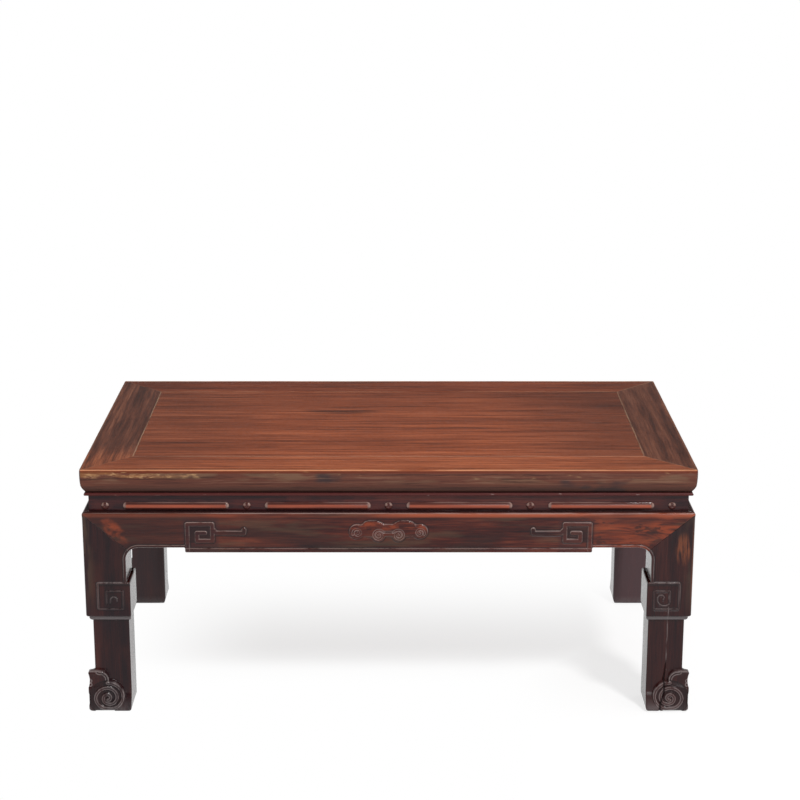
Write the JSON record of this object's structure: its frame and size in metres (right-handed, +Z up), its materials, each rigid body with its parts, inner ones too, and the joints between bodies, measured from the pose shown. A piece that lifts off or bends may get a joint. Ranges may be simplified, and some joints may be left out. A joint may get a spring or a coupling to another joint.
{
  "type": "kang table",
  "caption": "Low rectangular table with a framed panel top over a recessed waist, shaped aprons, and square stepped legs on scroll-carved feet.",
  "frame": {"origin": "on the floor, under the middle of the table top", "axes": "+X along the table's length, +Y along its depth towards the back, +Z up"},
  "size_m": [0.84, 0.475, 0.355],
  "materials": {
    "panel_wood": "oiled and polished red-brown hardwood, fine straight grain along the length",
    "frame_wood": "polished brown hardwood, darker along the moulded edge",
    "waist_wood": "dark polished red-brown hardwood",
    "apron_wood": "dark polished red-brown hardwood, worn lighter along the carved edges",
    "leg_wood": "very dark polished red-brown hardwood",
    "inner_wood": "unpolished brown hardwood"
  },
  "bodies": {
    "root": {"top_panel": "panel_wood", "batten_left": "inner_wood", "batten_right": "inner_wood", "frame_rail_front": "frame_wood", "waist_front": "waist_wood", "apron_front": "apron_wood", "frame_rail_back": "frame_wood", "waist_back": "waist_wood", "apron_back": "apron_wood", "frame_rail_left": "frame_wood", "waist_left": "waist_wood", "apron_left": "apron_wood", "frame_rail_right": "frame_wood", "waist_right": "waist_wood", "apron_right": "apron_wood", "key_front_left": "inner_wood", "key_front_right": "inner_wood", "key_back_left": "inner_wood", "key_back_right": "inner_wood", "key_left": "inner_wood", "key_right": "inner_wood", "leg_front_left": "leg_wood", "leg_front_right": "leg_wood", "leg_back_left": "leg_wood", "leg_back_right": "leg_wood"}
  },
  "joints": []
}
